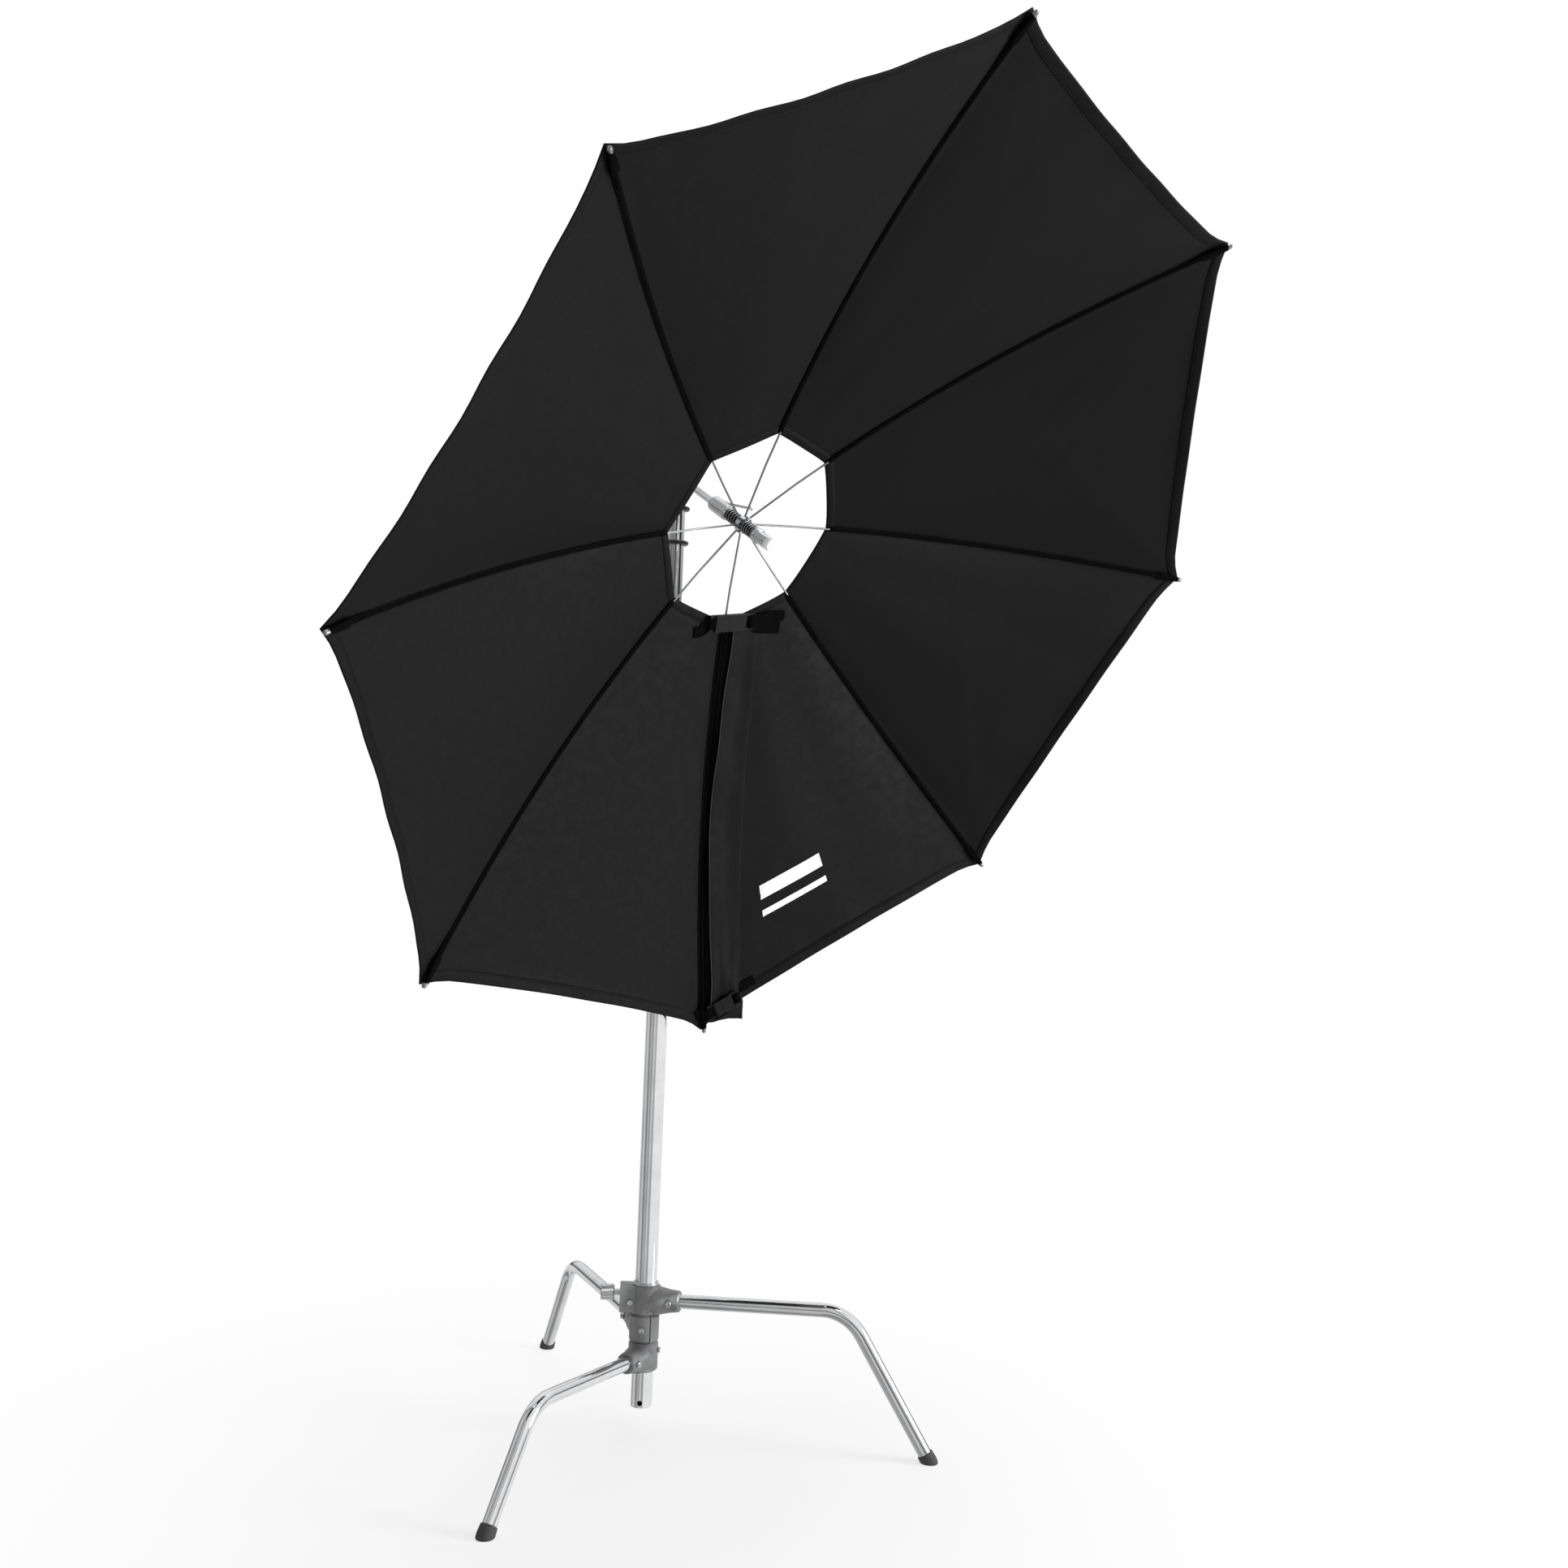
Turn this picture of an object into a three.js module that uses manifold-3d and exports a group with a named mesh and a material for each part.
// Octagonal fabric softbox on an umbrella type frame, held by a three-section stand with a three-leg swivel base.
// Millimetres, +Z up. The dish faces -Y and downwards; the stand column is vertical.
import * as THREE from "three";
import { mergeVertices } from "three/addons/utils/BufferGeometryUtils.js";
import Module from "manifold-3d";

const wasm = await Module();
wasm.setup();

// ---------------------------------------------------------------- driving dimensions
const ORIGIN = [-73.3, -196.8, 0]; // this point of the layout becomes the part's origin: middle of the base of its box
const GAP = 0.3; // running and assembly gap

// stand
const COLUMN_R = 17.5, COLUMN_WALL = 2.0, COLUMN_Z0 = 45, COLUMN_Z1 = 1070;
const RISER1_R = 15.0, RISER1_IN = 12.9, RISER1_Z0 = 340, RISER1_Z1 = 1285;
const RISER2_R = 12.5, RISER2_IN = 11.0, RISER2_Z0 = 700, RISER2_Z1 = 1520;
const LEG_R = 11.1, LEG_WALL = 1.6, LEG_BEND_R = 72;
const LEGS = [
  // name, azimuth, casting z0 z1, leg height at the casting, radius and height of the bend, foot radius
  { name: "top_leg", az: -55.7, z0: 194, z1: 240, zIn: 216, bossEnd: 58, rBend: 330, zBend: 224, rFoot: 468 },
  { name: "middle_leg", az: 70.9, z0: 149.5, z1: 193.6, zIn: 177, bossEnd: 60, rBend: 338, zBend: 188, rFoot: 455 },
  { name: "bottom_leg", az: -159.8, z0: 103, z1: 149.1, zIn: 127.5, bossEnd: 58, rBend: 331, zBend: 149, rFoot: 445 },
];
const CASTING_R = 24, BOSS_R = 16, LOCK_Z = 226;

// dish: an octagonal bowl round a shaft that runs in the plane x = SHAFT_X
const TILT = 30.94; // the dish looks this far below level, degrees
const SHAFT_X = -73.3;
const RIM_C = new THREE.Vector3(-73.3, -439.4, 1312.7); // middle of the plane of the rim
const TURN = 100.37; // angle of rib 1 round the shaft, degrees
const RIBS = 8;
const RIB_R = 1.6, RIB_ROOT = 11.5, RIB_END = 791;
const HEM_R = 778.5, INNER_R = 154.8; // corner radii of the fabric's outer and inner edges
const DEPTH_IN = 225.4, BOW = 26.2; // the inner edge lies this far behind the rim; the ribs bow by this
const SCALLOP = 9; // the outer edge is drawn in by this between the ribs
const FABRIC_T = 1.8, FABRIC_BACK = 2.6; // thickness, and how far it lies behind the rib's centre
const HUB_DEPTH = 245.5;
const SHAFT_R = 6, SHAFT_FRONT = 66.3, SHAFT_REAR = -409;
const GRIP_S = -266.8; // where the grip holds the shaft, measured from the hub
const PIVOT_Z = 1552.8, JAW_R = 32;

// ---------------------------------------------------------------- helpers
const RAD = Math.PI / 180;
const root = new THREE.Group();
root.name = "octagonal_softbox";
const V = (x, y, z) => new THREE.Vector3(x, y, z);
const nAxis = V(0, -Math.cos(TILT * RAD), -Math.sin(TILT * RAD)); // the way the dish looks
const aAxis = V(1, 0, 0);
const bAxis = V(0, -Math.sin(TILT * RAD), Math.cos(TILT * RAD));
const HUB = RIM_C.clone().addScaledVector(nAxis, -HUB_DEPTH);
const onShaft = (s) => HUB.clone().addScaledVector(nAxis, s);
const ribAngle = (k) => (TURN - 45 * k) * RAD;
const radial = (angle) => aAxis.clone().multiplyScalar(Math.cos(angle)).addScaledVector(bAxis, Math.sin(angle));
const depthAt = (r) => {
  const t = (r - INNER_R) / (790.5 - INNER_R);
  return DEPTH_IN * (1 - t) + 4 * BOW * t * (1 - t);
};
const ribPoint = (k, r, forward = 0) =>
  RIM_C.clone().addScaledVector(radial(ribAngle(k)), r).addScaledVector(nAxis, forward - depthAt(r));

const MATERIALS = {
  chrome: [0xd6d8da, 0.16, 1],
  steel: [0xb9bcc0, 0.3, 1],
  casting: [0x85888c, 0.45, 0.8],
  rubber: [0x2c2d2f, 0.8, 0],
  black_plastic: [0x141517, 0.5, 0],
  white_plastic: [0xf2f2f0, 0.45, 0],
  fabric: [0x17181a, 0.85, 0],
};
function add(name, geometry, kind) {
  const [color, roughness, metalness] = MATERIALS[kind];
  const mesh = new THREE.Mesh(geometry, new THREE.MeshStandardMaterial({ color, roughness, metalness }));
  mesh.name = name;
  root.add(mesh);
  return mesh;
}
// A closed geometry as a solid; its faces are turned out if they point in.
function solid(geometry, matrix) {
  let g = geometry.index ? geometry.toNonIndexed() : geometry.clone();
  for (const a of Object.keys(g.attributes)) if (a !== "position") g.deleteAttribute(a);
  if (matrix) g.applyMatrix4(matrix);
  g = mergeVertices(g, 1e-4);
  const p = g.attributes.position.array;
  const t = [];
  for (let i = 0; i < g.index.count; i += 3) {
    const [x, y, z] = [g.index.array[i], g.index.array[i + 1], g.index.array[i + 2]];
    if (x !== y && y !== z && x !== z) t.push(x, y, z);
  }
  let volume = 0;
  for (let i = 0; i < t.length; i += 3) {
    const a = V(p[3 * t[i]], p[3 * t[i] + 1], p[3 * t[i] + 2]);
    const b = V(p[3 * t[i + 1]], p[3 * t[i + 1] + 1], p[3 * t[i + 1] + 2]);
    const c = V(p[3 * t[i + 2]], p[3 * t[i + 2] + 1], p[3 * t[i + 2] + 2]);
    volume += a.dot(b.cross(c));
  }
  if (volume < 0) for (let i = 0; i < t.length; i += 3) [t[i + 1], t[i + 2]] = [t[i + 2], t[i + 1]];
  return new wasm.Manifold(
    new wasm.Mesh({ numProp: 3, vertProperties: new Float32Array(p), triVerts: new Uint32Array(t) }),
  );
}
function geometryOf(s) {
  const m = s.getMesh();
  const g = new THREE.BufferGeometry();
  g.setAttribute("position", new THREE.BufferAttribute(new Float32Array(m.vertProperties), 3));
  g.setIndex(new THREE.BufferAttribute(new Uint32Array(m.triVerts), 1));
  g.computeVertexNormals();
  return g;
}
const union = (...list) => list.reduce((a, b) => a.add(b));
// A frame whose Y axis runs along dir, with X close to side.
function frameAt(origin, dir, side = V(0, 0, 1)) {
  const y = dir.clone().normalize();
  let x = side.clone().addScaledVector(y, -side.dot(y));
  if (x.lengthSq() < 1e-6) x = V(1, 0, 0).addScaledVector(y, -y.x);
  x.normalize();
  const z = x.clone().cross(y);
  return new THREE.Matrix4().makeBasis(x, y, z).setPosition(origin);
}
// A turned piece: profile of [radius, height] along dir from origin.
const turned = (profile, origin, dir, seg = 24, side) =>
  solid(new THREE.LatheGeometry(profile.map(([r, h]) => new THREE.Vector2(r, h)), seg), frameAt(origin, dir, side));
const rod = (from, to, r, seg = 20) => {
  const d = to.clone().sub(from);
  return turned([[0, 0], [r, 0], [r, d.length()], [0, d.length()]], from, d, seg);
};
const pipe = (from, to, ro, ri, seg = 20) => {
  const d = to.clone().sub(from), l = d.length();
  return turned([[ri, 0], [ro, 0], [ro, l], [ri, l], [ri, 0]], from, d, seg);
};
const box = (center, x, y, z, matrix) => {
  const g = new THREE.BoxGeometry(x, y, z);
  g.translate(center.x, center.y, center.z);
  return solid(g, matrix);
};
const UP = V(0, 0, 1);
const az = (deg) => V(Math.cos(deg * RAD), Math.sin(deg * RAD), 0);
// A hexagon socket screw head with its shank, pointing along dir.
function socketScrew(at, dir, headR, headH, seg = 16) {
  const head = turned([[0, 0], [headR, 0], [headR, headH * 0.8], [headR * 0.85, headH], [0, headH]], at, dir, seg);
  const d = dir.clone().normalize();
  return head.subtract(rod(at.clone().addScaledVector(d, headH * 0.4), at.clone().addScaledVector(d, headH + 1), headR * 0.5, 6));
}

// ---------------------------------------------------------------- base
const column = pipe(V(0, 0, COLUMN_Z0), V(0, 0, COLUMN_Z1), COLUMN_R, COLUMN_R - COLUMN_WALL, 32)
  .subtract(rod(V(-30, 0, 53).applyAxisAngle(UP, 40 * RAD), V(30, 0, 53).applyAxisAngle(UP, 40 * RAD), 4.2, 16));
add("base_column", geometryOf(column), "chrome");

// A round tube along three points, bent at the middle one; side is square to the plane it lies in.
function bentTube([p0, p1, p2], side, bendR, ro, ri, seg = 24, steps = 10) {
  const d0 = p1.clone().sub(p0).normalize(), d2 = p2.clone().sub(p1).normalize();
  const turn = Math.acos(d0.dot(d2)), cut = bendR * Math.tan(turn / 2);
  const start = p1.clone().addScaledVector(d0, -cut);
  const inward = d2.clone().addScaledVector(d0, -d0.dot(d2)).normalize();
  const points = [p0], ways = [d0];
  for (let i = 0; i <= steps; i++) {
    const a = (turn * i) / steps;
    points.push(start.clone().addScaledVector(d0, bendR * Math.sin(a)).addScaledVector(inward, bendR * (1 - Math.cos(a))));
    ways.push(d0.clone().multiplyScalar(Math.cos(a)).addScaledVector(inward, Math.sin(a)));
  }
  points.push(p2);
  ways.push(d2);
  const n = points.length, verts = [], tris = [];
  for (const r of [ro, ri]) {
    points.forEach((p, i) => {
      const w = ways[i].clone().cross(side).normalize();
      for (let j = 0; j < seg; j++) {
        const a = (j / seg) * Math.PI * 2;
        const q = p.clone().addScaledVector(side, r * Math.cos(a)).addScaledVector(w, r * Math.sin(a));
        verts.push(q.x, q.y, q.z);
      }
    });
  }
  const id = (wall, i, j) => (wall * n + i) * seg + (j % seg);
  const quad = (a, b, c, d) => tris.push(a, b, c, a, c, d);
  for (let j = 0; j < seg; j++) {
    for (let i = 0; i < n - 1; i++) {
      quad(id(0, i, j), id(0, i, j + 1), id(0, i + 1, j + 1), id(0, i + 1, j));
      quad(id(1, i, j), id(1, i + 1, j), id(1, i + 1, j + 1), id(1, i, j + 1));
    }
    quad(id(0, 0, j), id(1, 0, j), id(1, 0, j + 1), id(0, 0, j + 1));
    quad(id(0, n - 1, j), id(0, n - 1, j + 1), id(1, n - 1, j + 1), id(1, n - 1, j));
  }
  const g = new THREE.BufferGeometry();
  g.setAttribute("position", new THREE.Float32BufferAttribute(verts, 3));
  g.setIndex(tris);
  return g;
}
for (const leg of LEGS) {
  const out = az(leg.az), side = UP.clone().cross(out), BOSS_END = leg.bossEnd;
  const at = (r, z) => out.clone().multiplyScalar(r).setZ(z);
  const slope = (leg.zBend - leg.zIn) / (leg.rBend - BOSS_END);
  const inner = at(CASTING_R + 2.5, leg.zIn + slope * (CASTING_R + 2.5 - BOSS_END));
  const bend = at(leg.rBend, leg.zBend);
  const foot = at(leg.rFoot, 0);
  const down = foot.clone().sub(bend).normalize();
  const tubeEnd = foot.clone().addScaledVector(down, -9.5 / Math.abs(down.z));
  // leg tube
  add(`${leg.name}_tube`, geometryOf(solid(bentTube([inner, bend, tubeEnd], side, LEG_BEND_R, LEG_R, LEG_R - LEG_WALL))), "chrome");
  // casting: a sleeve round the column with a boss that holds the leg
  const h = leg.z1 - leg.z0, c = 3;
  let casting = turned([[0, 0], [CASTING_R - c, 0], [CASTING_R, c], [CASTING_R, h - c], [CASTING_R - c, h], [0, h]], V(0, 0, leg.z0), UP, 24);
  const along = V(0, 0, 0).addVectors(out, UP.clone().multiplyScalar(slope)).normalize();
  const bossStart = at(0, leg.zIn - slope * BOSS_END);
  casting = union(
    casting,
    turned([[0, 0], [24.5, 0], [23.4, 20], [20.6, 31], [18.2, 42], [BOSS_R + 0.6, BOSS_END - 1.5], [BOSS_R - 0.8, BOSS_END], [0, BOSS_END]], bossStart, along, 24),
  );
  if (leg.name === "top_leg") {
    // square lug on the far side, for the lock screw
    casting = union(casting, box(V(20, 0, 218.5), 42, 33, 41, new THREE.Matrix4().makeRotationZ(138 * RAD)));
  }
  casting = casting
    .subtract(rod(V(0, 0, leg.z0 - 5), V(0, 0, leg.z1 + 5), COLUMN_R + GAP, 24))
    .subtract(rod(inner.clone().addScaledVector(along, -GAP), at(BOSS_END + 10, leg.zIn + slope * 10), LEG_R + GAP, 20));
  if (leg.name !== "top_leg") {
    // the sleeve is split so that it can be clamped
    const slit = leg.name === "middle_leg" ? -108 : 60;
    casting = casting.subtract(box(V(20, 0, (leg.z0 + leg.z1) / 2), 20, 1.8, h + 10, new THREE.Matrix4().makeRotationZ(slit * RAD)));
  } else {
    // threaded hole for the lock screw, and keep the sleeve within its height
    casting = casting.subtract(rod(az(138).multiplyScalar(14).setZ(LOCK_Z), az(138).multiplyScalar(50).setZ(LOCK_Z), 5.3, 16));
  }
  // spot face for the screw that holds the leg
  const screwSide = side.clone().multiplyScalar(leg.name === "top_leg" ? -1 : 1);
  const heldAt = leg.name === "top_leg" ? 42 : 48;
  const held = at(heldAt, leg.zIn + slope * (heldAt - BOSS_END)).addScaledVector(screwSide, BOSS_R + 1.2);
  casting = casting.subtract(rod(held.clone().addScaledVector(screwSide, -GAP), held.clone().addScaledVector(screwSide, 12), 6, 18));
  casting = casting.subtract(box(V(0, 0, leg.z0 - 40), 200, 200, 80)).subtract(box(V(0, 0, leg.z1 + 40), 200, 200, 80));
  add(`${leg.name}_casting`, geometryOf(casting), "casting");
  // one screw holds the leg in its boss, the other clamps or fixes the sleeve
  add(`${leg.name}_screw`, geometryOf(socketScrew(held, screwSide, 5.2, 4)), "steel");
  const face = az({ top_leg: -132, middle_leg: -142, bottom_leg: -50 }[leg.name]);
  const clampAt = leg.name === "top_leg"
    ? az(138).multiplyScalar(25).addScaledVector(face, 16.9).setZ(214)
    : face.clone().multiplyScalar(CASTING_R + 0.5).setZ((leg.z0 + leg.z1) / 2 + (leg.name === "bottom_leg" ? 9 : 0));
  add(`${leg.name}_clamp_screw`, geometryOf(socketScrew(clampAt, face, 4.6, 3.2)), "steel");
  // rubber foot, cut flat where it stands
  const cap = turned(
    [[0, 0], [10.5, 0], [12.9, 5], [13.4, 12], [12.7, 23], [12.1, 24.5], [11.5, 24.5], [11.5, 12], [0, 12]],
    foot.clone().addScaledVector(down, 8), down.clone().negate(), 24,
  );
  let shoe = cap.subtract(box(V(0, 0, -50), 2000, 2000, 100));
  shoe = shoe.subtract(rod(tubeEnd.clone().addScaledVector(down, GAP), tubeEnd.clone().addScaledVector(down, -80), LEG_R + GAP, 20));
  add(`${leg.name}_foot`, geometryOf(shoe), "rubber");
}
add("column_ring", geometryOf(turned([[COLUMN_R + GAP, 0], [20.2, 0], [20.6, 0.8], [20.2, 1.8], [19.4, 2.1], [19.9, 2.6], [19.9, 3.6], [19.2, 4.2], [COLUMN_R + GAP, 4.2], [COLUMN_R + GAP, 0]], V(0, 0, 240.4), UP, 28)), "chrome");

// A lobed clamping knob on a threaded shank, pointing along dir.
function knob(at, dir, shankR, shankL, knobR, knobH, lobes = 5) {
  const d = dir.clone().normalize();
  const shape = new THREE.Shape();
  const n = lobes * 6;
  for (let i = 0; i < n; i++) {
    const a = (i / n) * Math.PI * 2, r = knobR * (0.86 + 0.14 * Math.cos(lobes * a));
    if (i) shape.lineTo(r * Math.cos(a), r * Math.sin(a));
    else shape.moveTo(r * Math.cos(a), r * Math.sin(a));
  }
  shape.closePath();
  const g = new THREE.ExtrudeGeometry(shape, { depth: knobH - 3, bevelEnabled: true, bevelThickness: 1.5, bevelSize: 1.5, bevelSegments: 1, bevelOffset: -1.5, curveSegments: 1, steps: 1 });
  g.translate(0, 0, 1.5);
  const m = frameAt(at.clone().addScaledVector(d, shankL - 0.01), d).multiply(new THREE.Matrix4().makeRotationX(-Math.PI / 2));
  return union(rod(at, at.clone().addScaledVector(d, shankL), shankR, 16), solid(g, m));
}
add("base_lock_knob", geometryOf(knob(az(138).multiplyScalar(18.2).setZ(LOCK_Z), az(138), 5, 32, 13, 22, 4)), "steel");

// ---------------------------------------------------------------- risers
// A collar on top of a tube: it sits over the tube below and lets the tube above slide through.
function collar(z0, zStep, z1, r, rBelow, rAbove, lugZ) {
  return union(
    turned([[0, 0], [r - 1.5, 0], [r, 3], [r, z1 - z0 - 6], [r - 3, z1 - z0], [0, z1 - z0]], V(0, 0, z0), UP, 24),
    box(V(0, r + 1, lugZ), 18, 16, 20),
  )
    .subtract(rod(V(0, 0, z0 - 5), V(0, 0, zStep), rBelow, 24))
    .subtract(rod(V(0, 0, zStep - 5), V(0, 0, z1 + 5), rAbove, 24))
    .subtract(rod(V(0, 12, lugZ), V(0, 60, lugZ), 4.3, 12));
}
add("base_collar", geometryOf(collar(COLUMN_Z1 - 34, COLUMN_Z1 + GAP, COLUMN_Z1 + 24, 24, COLUMN_R + GAP, RISER1_R + 0.4, 1083)), "casting");
add("base_collar_knob", geometryOf(knob(V(0, 16.2, 1083), V(0, 1, 0), 4, 23, 14, 16, 5)), "black_plastic");
add("riser_1_tube", geometryOf(pipe(V(0, 0, RISER1_Z0), V(0, 0, RISER1_Z1), RISER1_R, RISER1_IN, 28)), "chrome");
add("riser_1_collar", geometryOf(collar(RISER1_Z1 - 27, RISER1_Z1 + GAP, RISER1_Z1 + 27, 22, RISER1_R + GAP, RISER2_R + 0.4, 1300)), "casting");
add("riser_1_collar_knob", geometryOf(knob(V(0, 13.8, 1300), V(0, 1, 0), 4, 24, 14, 16, 5)), "black_plastic");
add("riser_2_tube", geometryOf(pipe(V(0, 0, RISER2_Z0), V(0, 0, RISER2_Z1), RISER2_R, RISER2_IN, 24)), "chrome");
const ring = (z) => turned([[RISER2_R + GAP, 0], [18.5, 0], [20, 1.5], [20, 4.5], [18.5, 6], [RISER2_R + GAP, 6], [RISER2_R + GAP, 0]], V(0, 0, z - 3), UP, 24);
add("riser_2_lower_ring", geometryOf(ring(1440)), "black_plastic");
add("riser_2_upper_ring", geometryOf(ring(1496)), "black_plastic");
add("riser_stud", geometryOf(turned(
  [[0, 0], [10.6, 0], [10.6, 20.3], [14.5, 20.3], [14.5, 26], [8, 27], [8, 58], [6.6, 60], [6.6, 66], [8, 68], [8, 88], [7, 90], [0, 90]],
  V(0, 0, 1500), UP, 20)), "steel");

// ---------------------------------------------------------------- grip head
const PIVOT = V(0, 0, PIVOT_Z);
let knuckle = union(
  turned([[0, 0], [17, 0], [19, 3], [19, 44], [17, 47], [0, 47]], V(0, 0, 1529), UP, 24),
  rod(V(0, 0, PIVOT_Z), V(-48, 0, PIVOT_Z), 13, 20),
  turned([[0, 0], [28, 0], [30, 2], [30, 8], [0, 8]], V(-48, 0, PIVOT_Z), V(-1, 0, 0), 28),
  box(V(0, 20, 1564), 18, 12, 16),
);
knuckle = knuckle
  .subtract(rod(V(0, 0, 1520), V(0, 0, 1600), 8.3, 24))
  .subtract(rod(V(-30, 0, PIVOT_Z), V(-60, 0, PIVOT_Z), 5.3, 16))
  .subtract(rod(V(0, 6, 1564), V(0, 40, 1564), 4.3, 16));
add("grip_knuckle", geometryOf(knuckle), "casting");
add("stud_lock_knob", geometryOf(knob(V(0, 9.2, 1564), V(0, 1, 0), 4, 22, 13, 15, 5)), "black_plastic");
const shaftHole = rod(onShaft(SHAFT_REAR - 10), onShaft(SHAFT_FRONT + 10), SHAFT_R + GAP, 24);
const jaw = (x0, x1) =>
  turned([[0, 0], [JAW_R - 2, 0], [JAW_R, 2], [JAW_R, Math.abs(x1 - x0) - 2], [JAW_R - 2, Math.abs(x1 - x0)], [0, Math.abs(x1 - x0)]], V(x0, 0, PIVOT_Z), V(Math.sign(x1 - x0), 0, 0), 28)
    .subtract(shaftHole)
    .subtract(rod(V(-40, 0, PIVOT_Z), V(-110, 0, PIVOT_Z), 5.3, 16));
add("grip_inner_jaw", geometryOf(jaw(-56.5, -72.9)), "casting");
add("grip_outer_jaw", geometryOf(jaw(-73.7, -88)), "casting");
add("grip_t_handle", geometryOf(union(
  rod(V(-31, 0, PIVOT_Z), V(-108, 0, PIVOT_Z), 5, 16),
  turned([[0, 0], [11, 0], [11, 6], [0, 6]], V(-88.4, 0, PIVOT_Z), V(-1, 0, 0), 6),
  rod(V(-104, 0, PIVOT_Z - 44), V(-104, 0, PIVOT_Z + 44), 5.5, 14),
)), "steel");

// ---------------------------------------------------------------- shaft and hub
add("shaft", geometryOf(rod(onShaft(SHAFT_REAR), onShaft(SHAFT_FRONT), SHAFT_R, 24)), "chrome");
const hubCentre = onShaft(0);
let hub = turned([[SHAFT_R + GAP, -4], [14, -4], [14, 4], [SHAFT_R + GAP, 4], [SHAFT_R + GAP, -4]], hubCentre, nAxis, 24, aAxis);
for (let k = 0; k < RIBS; k++) {
  const d = radial(ribAngle(k));
  hub = hub.subtract(solid(new THREE.BoxGeometry(4.4, 10, 12), frameAt(hubCentre.clone().addScaledVector(d, 13.4), d, d.clone().cross(nAxis))));
}
add("hub_ring", geometryOf(hub), "steel");

class Helix extends THREE.Curve {
  constructor(s0, s1, r, turns) { super(); Object.assign(this, { s0, s1, r, turns }); }
  getPoint(t, target = new THREE.Vector3()) {
    const a = t * this.turns * Math.PI * 2;
    return target.copy(onShaft(this.s0 + (this.s1 - this.s0) * t)).addScaledVector(radial(a), this.r);
  }
}
function spring(name, s0, s1) {
  const wire = new THREE.Shape();
  wire.absarc(0, 0, 0.95, 0, Math.PI * 2, false);
  add(name, geometryOf(solid(new THREE.ExtrudeGeometry(wire, { steps: 40, curveSegments: 3, bevelEnabled: false, extrudePath: new Helix(s0, s1, 9.9, 5) }))), "steel");
}
spring("rear_spring", -35.4, -5.6);
spring("front_spring", 5.6, 31.4);
add("slider_block", geometryOf(
  turned([[SHAFT_R + GAP, 0], [9.5, 0], [12, 3], [12, 39], [9.5, 42], [SHAFT_R + GAP, 42], [SHAFT_R + GAP, 0]], onShaft(-79), nAxis, 24)
    .subtract(solid(new THREE.BoxGeometry(5.2, 7, 17), frameAt(onShaft(-60).addScaledVector(radial(48 * RAD), 10.8), radial(48 * RAD), nAxis.clone().cross(radial(48 * RAD))))),
), "steel");
// lock lever: a thin finger hinged in the slider's slot, standing off the shaft towards the hub
const leverDir = radial(48 * RAD), leverSide = nAxis.clone().cross(leverDir);
const leverPivot = onShaft(-60).addScaledVector(leverDir, 11);
const leverEnd = onShaft(-19).addScaledVector(leverDir, 29);
const lv = leverEnd.clone().sub(leverPivot);
const leverFrame = frameAt(leverPivot, lv, leverSide);
let lever = union(
  turned([[0, -2], [2.9, -2], [2.9, 2], [0, 2]], leverPivot, leverSide, 14),
  solid(new THREE.BoxGeometry(4, lv.length(), 1.6).translate(0, lv.length() / 2, 0), leverFrame),
  turned([[0, -0.8], [3.6, -0.8], [3.6, 0.8], [0, 0.8]], leverEnd, lv.clone().cross(leverSide), 14),
).subtract(rod(leverEnd.clone().addScaledVector(lv.clone().cross(leverSide).normalize(), -3), leverEnd.clone().addScaledVector(lv.clone().cross(leverSide).normalize(), 3), 1.6, 10));
add("lock_lever", geometryOf(lever), "steel");
add("front_sleeve", geometryOf(turned([[SHAFT_R + GAP, 0], [11.2, 0], [11.6, 0.6], [11.6, 8], [11, 8.8], [9.8, 9.2], [9.8, 27.7], [SHAFT_R + GAP, 27.7], [SHAFT_R + GAP, 0]], onShaft(32.4), nAxis, 24)), "steel");
add("shaft_tip", geometryOf(turned([[SHAFT_R + GAP, 0], [9.6, 0], [9.6, 7], [7.5, 10], [0, 10], [0, 6.4], [SHAFT_R + GAP, 6.4], [SHAFT_R + GAP, 0]], onShaft(60.4), nAxis, 24)), "white_plastic");

// ---------------------------------------------------------------- ribs and fabric
class RibCurve extends THREE.Curve {
  constructor(k) { super(); this.k = k; }
  getPoint(t, target = new THREE.Vector3()) {
    return target.copy(ribPoint(this.k, RIB_ROOT + (RIB_END - 6 - RIB_ROOT) * t));
  }
}
for (let k = 0; k < RIBS; k++) {
  const dir = radial(ribAngle(k)), tangent = dir.clone().cross(nAxis);
  const wire = new THREE.Shape();
  wire.absarc(0, 0, RIB_R, 0, Math.PI * 2, false);
  const rodSolid = solid(new THREE.ExtrudeGeometry(wire, { steps: 9, curveSegments: 3, bevelEnabled: false, extrudePath: new RibCurve(k) }));
  const rootAt = ribPoint(k, RIB_ROOT);
  const tipFrom = ribPoint(k, RIB_END - 10.5), tipTo = ribPoint(k, RIB_END);
  add(`rib_${k + 1}`, geometryOf(union(
    rodSolid,
    turned([[0, -1.9], [2.3, -1.9], [2.3, 1.9], [0, 1.9]], rootAt, tangent, 12),
    turned([[0, 0], [3.2, 0], [3.6, 1.5], [3.6, 9], [2.4, tipTo.distanceTo(tipFrom)], [0, tipTo.distanceTo(tipFrom)]], tipFrom.clone(), tipTo.clone().sub(tipFrom), 10),
  )), "steel");
}
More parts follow.
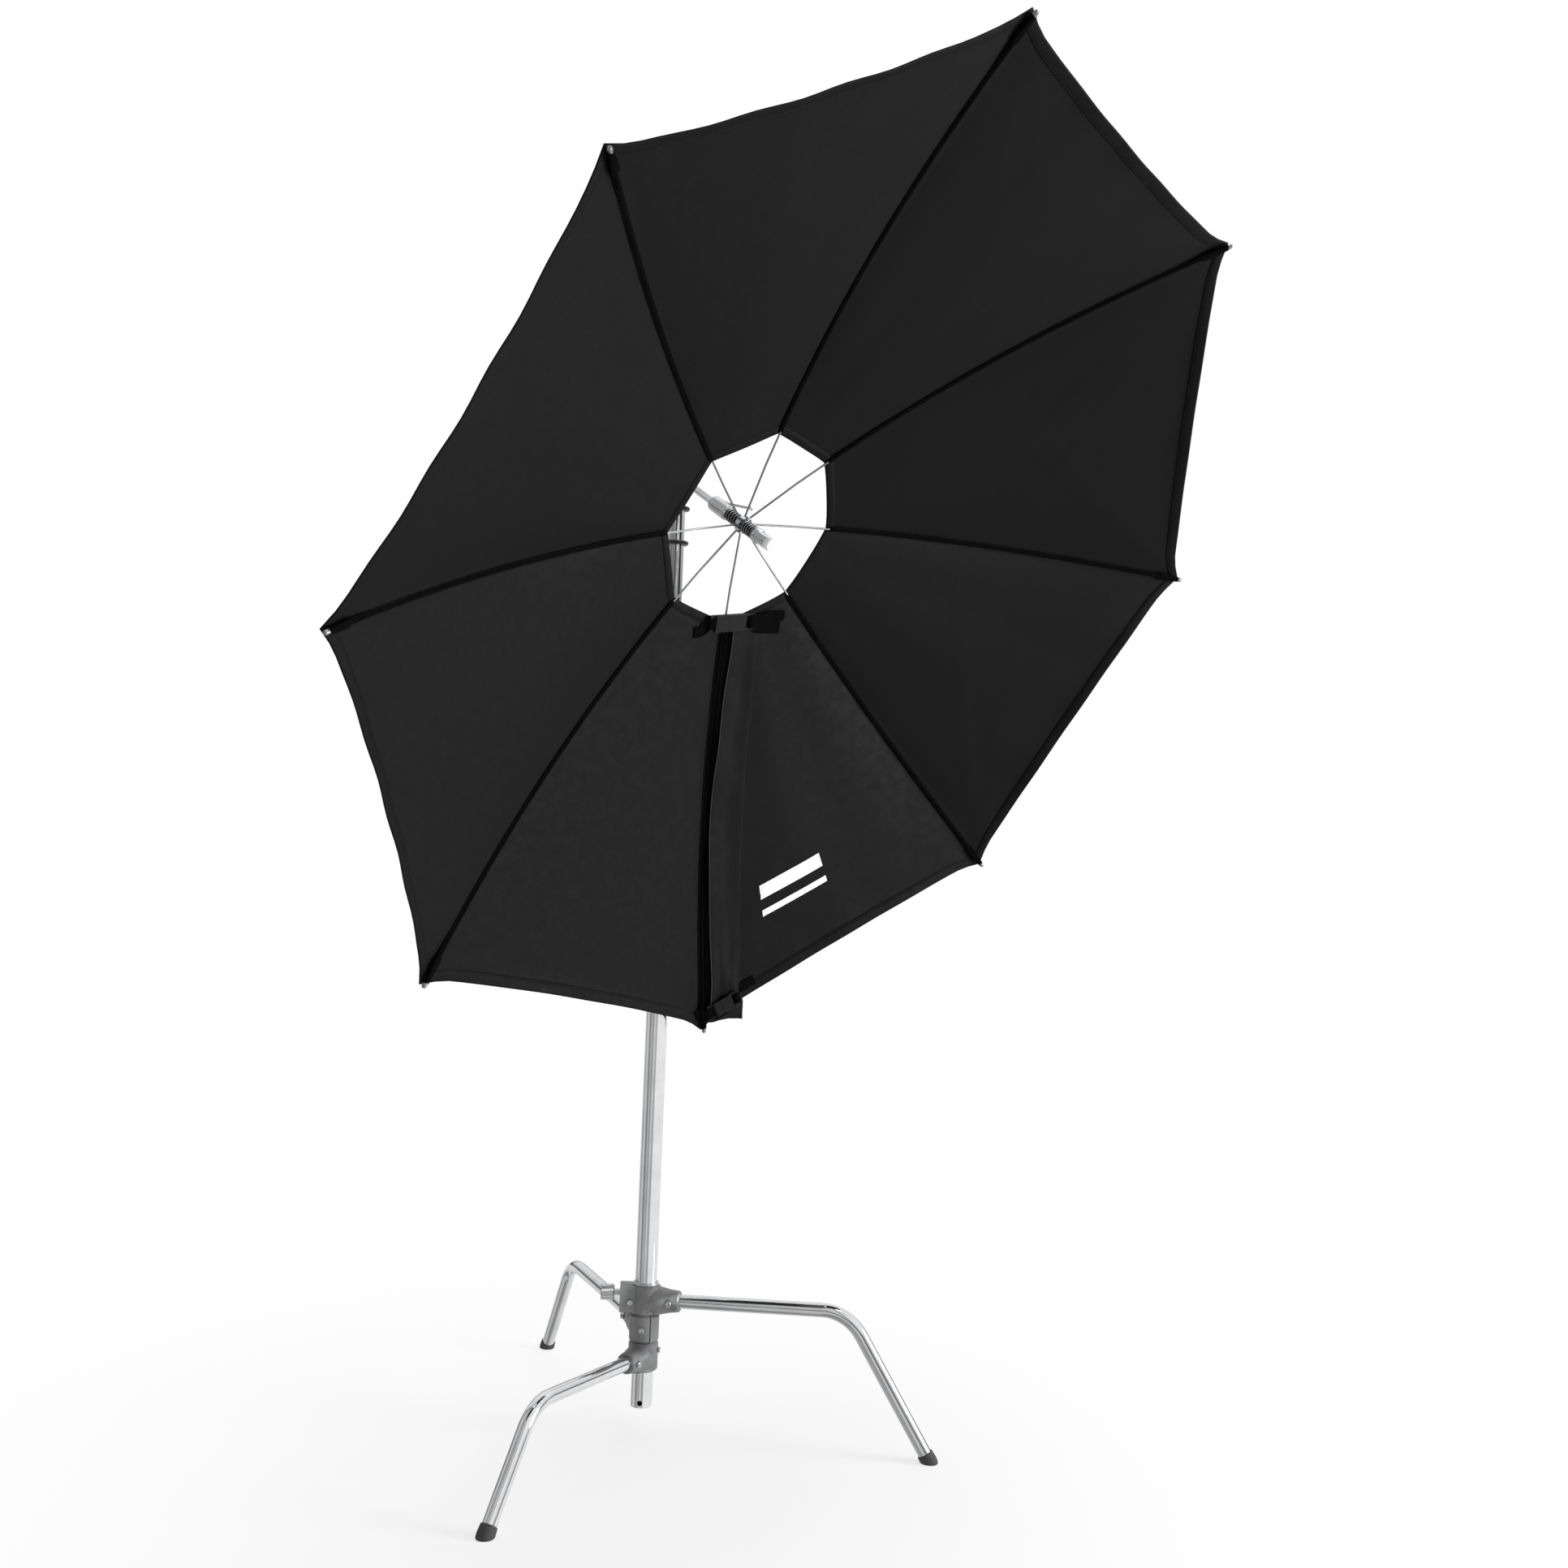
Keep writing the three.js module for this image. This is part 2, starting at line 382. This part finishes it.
// One piece of cloth lies either side of each rib, up to the middle of the space to the next rib.
const STEPS = 9, HALF = 2;
const clothPoint = (k, side, u, v, back) => {
  // u 0..1 from the inner edge to the outer, v 0 at the rib to 1 in the middle of the space beside it
  const r = INNER_R + (HEM_R - INNER_R) * u;
  const here = ribPoint(k, r, -back), next = ribPoint(k + side, r, -back);
  const p = here.clone().lerp(next, v / 2);
  const inward = radial(ribAngle(k) - side * 22.5 * RAD);
  if (u > 0.999) p.addScaledVector(inward, -SCALLOP * (1 - (1 - v) * (1 - v)));
  return p;
};
for (let k = 0; k < RIBS; k++) {
  const cols = [];
  for (let i = -HALF; i <= HALF; i++) cols.push(i);
  const verts = [], tris = [];
  const index = (layer, j, i) => layer * (STEPS + 1) * cols.length + j * cols.length + i;
  for (const back of [FABRIC_BACK, FABRIC_BACK + FABRIC_T])
    for (let j = 0; j <= STEPS; j++)
      for (const i of cols) {
        const side = i < 0 ? -1 : 1;
        const p = clothPoint(k, side, j / STEPS, Math.abs(i) / HALF, back);
        if (Math.abs(i) === HALF) {
          // a thin gap to the neighbouring piece
          const t = radial(ribAngle(k + side)).sub(radial(ribAngle(k))).normalize();
          p.addScaledVector(t, -GAP);
        }
        verts.push(p.x, p.y, p.z);
      }
  const quad = (a, b, c, d) => tris.push(a, b, c, a, c, d);
  for (let j = 0; j < STEPS; j++)
    for (let i = 0; i < cols.length - 1; i++) {
      quad(index(0, j, i), index(0, j, i + 1), index(0, j + 1, i + 1), index(0, j + 1, i));
      quad(index(1, j, i), index(1, j + 1, i), index(1, j + 1, i + 1), index(1, j, i + 1));
    }
  for (let i = 0; i < cols.length - 1; i++) {
    quad(index(0, 0, i), index(1, 0, i), index(1, 0, i + 1), index(0, 0, i + 1));
    quad(index(0, STEPS, i), index(0, STEPS, i + 1), index(1, STEPS, i + 1), index(1, STEPS, i));
  }
  const last = cols.length - 1;
  for (let j = 0; j < STEPS; j++) {
    quad(index(0, j, 0), index(0, j + 1, 0), index(1, j + 1, 0), index(1, j, 0));
    quad(index(0, j, last), index(1, j, last), index(1, j + 1, last), index(0, j + 1, last));
  }
  const g = new THREE.BufferGeometry();
  g.setAttribute("position", new THREE.Float32BufferAttribute(verts, 3));
  g.setIndex(tris);
  add(`fabric_panel_${k + 1}`, geometryOf(solid(g)), "fabric");
}

// ---------------------------------------------------------------- closure buckles beside rib 5
// Each buckle lies in a frame with X along the strap, Y across it and Z out of the cloth.
function buckle(name, frame, H, tab, plugL, socketL, ladder) {
  const place = (g) => solid(g, frame);
  const T = 8;
  const b = (x0, x1, y, z0, z1) => new THREE.BoxGeometry(x1 - x0, y, z1 - z0).translate((x0 + x1) / 2, 0, (z0 + z1) / 2);
  // plug: a loop for its strap, a shoulder and a tongue that goes into the socket
  const plug = union(place(b(0, tab + 1, H, 0, 5)), place(b(tab, tab + plugL, H, 0, T)), place(b(tab + plugL - 1, tab + plugL + socketL - 5, H - 12, 2.2, T - 2.2)))
    .subtract(place(b(3.5, tab - 2.5, H - 7, -2, 10)));
  add(`${name}_plug`, geometryOf(plug), "black_plastic");
  const x0 = tab + plugL + 0.4;
  const socket = union(place(b(x0, x0 + socketL, H, 0, T)), place(b(x0 + socketL - 1, x0 + socketL + ladder, H, 0, 5)))
    .subtract(place(b(x0 - 2, x0 + socketL - 3.5, H - 11, 1.6, T - 1.6)))
    .subtract(place(b(x0 + socketL + 4, x0 + socketL + ladder - 4.5, H - 7, -2, 10)));
  add(`${name}_socket`, geometryOf(socket), "black_plastic");
}
{
  const k = 4, dir = radial(ribAngle(k));
  const along = dir.clone().cross(nAxis).negate(); // towards rib 4
  if (along.dot(radial(ribAngle(3))) < 0) along.negate();
  // inner buckle: across the rib at the inner edge of the cloth
  const slope = ribPoint(k, INNER_R + 40).sub(ribPoint(k, INNER_R)).normalize();
  const out1 = along.clone().cross(slope);
  if (out1.dot(nAxis) < 0) out1.negate();
  const y1 = out1.clone().cross(along);
  const o1 = ribPoint(k, INNER_R - 2).addScaledVector(along, -37).addScaledVector(out1, 5.5);
  buckle("inner_buckle", new THREE.Matrix4().makeBasis(along, y1, out1).setPosition(o1), 26, 10, 25, 33, 20);
  // outer buckle: along the outer edge, just beside the rib's end
  const p0 = ribPoint(k, HEM_R - 14), p1 = ribPoint(3, HEM_R - 14), q0 = ribPoint(k, HEM_R - 90);
  const x2 = p1.clone().sub(p0).normalize();
  let z2 = x2.clone().cross(q0.clone().sub(p0)).normalize();
  if (z2.dot(nAxis) < 0) z2.negate();
  const y2 = z2.clone().cross(x2);
  const o2 = p0.clone().addScaledVector(x2, 7).addScaledVector(z2, 3.2);
  buckle("outer_buckle", new THREE.Matrix4().makeBasis(x2, y2, z2).setPosition(o2), 25, 12, 13, 18, 15);
}

root.position.set(-ORIGIN[0], -ORIGIN[1], -ORIGIN[2]);
export default root;
